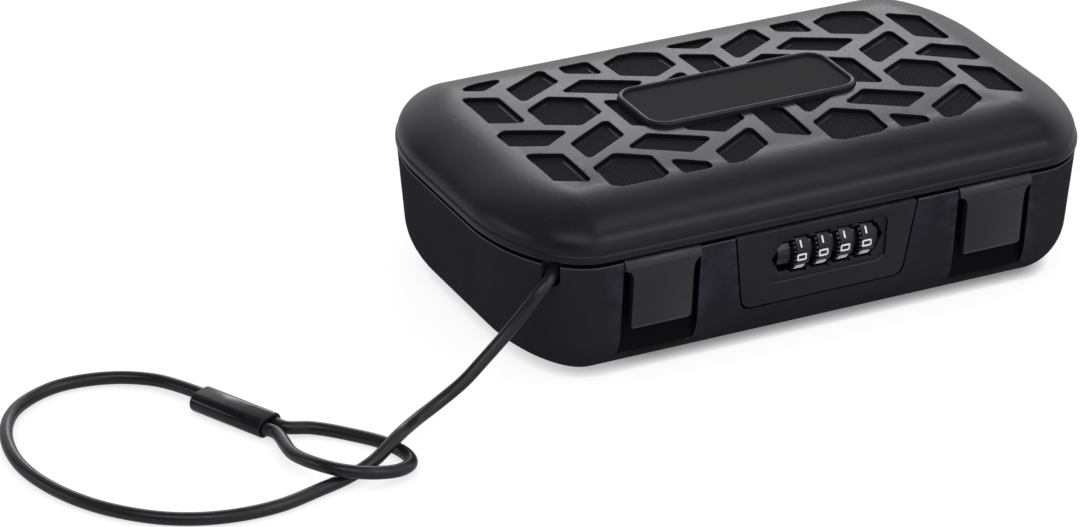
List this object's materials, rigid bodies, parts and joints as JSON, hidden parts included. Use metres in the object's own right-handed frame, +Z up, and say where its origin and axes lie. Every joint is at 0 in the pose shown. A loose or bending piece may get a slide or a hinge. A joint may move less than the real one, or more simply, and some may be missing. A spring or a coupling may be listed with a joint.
{
  "type": "portable car safe",
  "caption": "Portable safe with a domed hinged lid, pull latches, a combination lock with number dials and a looped steel security cable",
  "frame": {"origin": "centre of the underside, in the middle of the case's own box without its free cable", "axes": "+X along the case to its right seen from the dials, -Y out of the front where the dials are, +Z up through the lid"},
  "size_m": [0.4033, 0.1774, 0.067],
  "materials": {
    "case_plastic": "satin black moulded polymer, finely grained",
    "lid_plastic": "satin black moulded polymer with sunk pockets",
    "trim_plastic": "satin black moulded polymer, smooth",
    "latch_plastic": "satin black moulded polymer, smooth",
    "dial_gloss": "glossy black with plain white numbers",
    "ferrule_sleeve": "glossy black heat-shrunk sleeve",
    "cable_jacket": "satin black plastic jacket over a steel cable",
    "foam": "dark closed-cell foam",
    "steel": "plain steel",
    "brass": "turned brass"
  },
  "bodies": {
    "case": {"base_shell": "case_plastic", "base_lining": "foam", "lock_panel": "trim_plastic", "lock_chassis": "trim_plastic", "dial_spindle": "steel", "detent_spring": "steel", "chassis_screw_1": "steel", "chassis_screw_2": "steel", "chassis_screw_3": "steel", "chassis_screw_4": "steel", "latch_pin_left": "steel", "latch_pin_right": "steel", "latch_spring_left": "steel", "latch_spring_right": "steel", "hinge_pin_left": "steel", "hinge_pin_right": "steel", "cable_stop": "steel", "cable_run": "cable_jacket", "cable_ferrule": "ferrule_sleeve", "cable_eye": "cable_jacket"},
    "lid": {"lid_shell": "lid_plastic", "lid_lining": "foam", "lid_plate": "trim_plastic"},
    "latch_left": {"latch_left": "latch_plastic", "latch_hook_left": "steel"},
    "latch_right": {"latch_right": "latch_plastic", "latch_hook_right": "steel"},
    "dial_1": {"dial_1": "dial_gloss", "code_sleeve_1": "brass"},
    "dial_2": {"dial_2": "dial_gloss", "code_sleeve_2": "brass"},
    "dial_3": {"dial_3": "dial_gloss", "code_sleeve_3": "brass"},
    "dial_4": {"dial_4": "dial_gloss", "code_sleeve_4": "brass"},
    "reset_lever": {"reset_lever": "trim_plastic"}
  },
  "joints": [
    {"name": "lid_hinge", "type": "hinge", "parent": "case", "child": "lid", "pos_m": [0, 0.07035, 0.0462], "axis": [-1, 0, 0], "range_deg": [0, 100]},
    {"name": "latch_left_pull", "type": "hinge", "parent": "case", "child": "latch_left", "pos_m": [-0.0651, -0.07015, 0.0426], "axis": [-1, 0, 0], "range_deg": [0, 25], "stiffness_Nm_per_rad": 0.08, "springref_deg": -11.46},
    {"name": "latch_right_pull", "type": "hinge", "parent": "case", "child": "latch_right", "pos_m": [0.0651, -0.07015, 0.0426], "axis": [-1, 0, 0], "range_deg": [0, 25], "stiffness_Nm_per_rad": 0.08, "springref_deg": -11.46},
    {"name": "dial_1_turn", "type": "hinge", "parent": "case", "child": "dial_1", "pos_m": [-0.01135, -0.0645, 0.03421], "axis": [1, 0, 0], "continuous": true},
    {"name": "dial_2_turn", "type": "hinge", "parent": "case", "child": "dial_2", "pos_m": [-0.00285, -0.0645, 0.03421], "axis": [1, 0, 0], "continuous": true},
    {"name": "dial_3_turn", "type": "hinge", "parent": "case", "child": "dial_3", "pos_m": [0.00565, -0.0645, 0.03421], "axis": [1, 0, 0], "continuous": true},
    {"name": "dial_4_turn", "type": "hinge", "parent": "case", "child": "dial_4", "pos_m": [0.01415, -0.0645, 0.03421], "axis": [1, 0, 0], "continuous": true},
    {"name": "reset_lever_slide", "type": "slide", "parent": "case", "child": "reset_lever", "axis": [1, 0, 0], "range_m": [0, 0.003]}
  ]
}
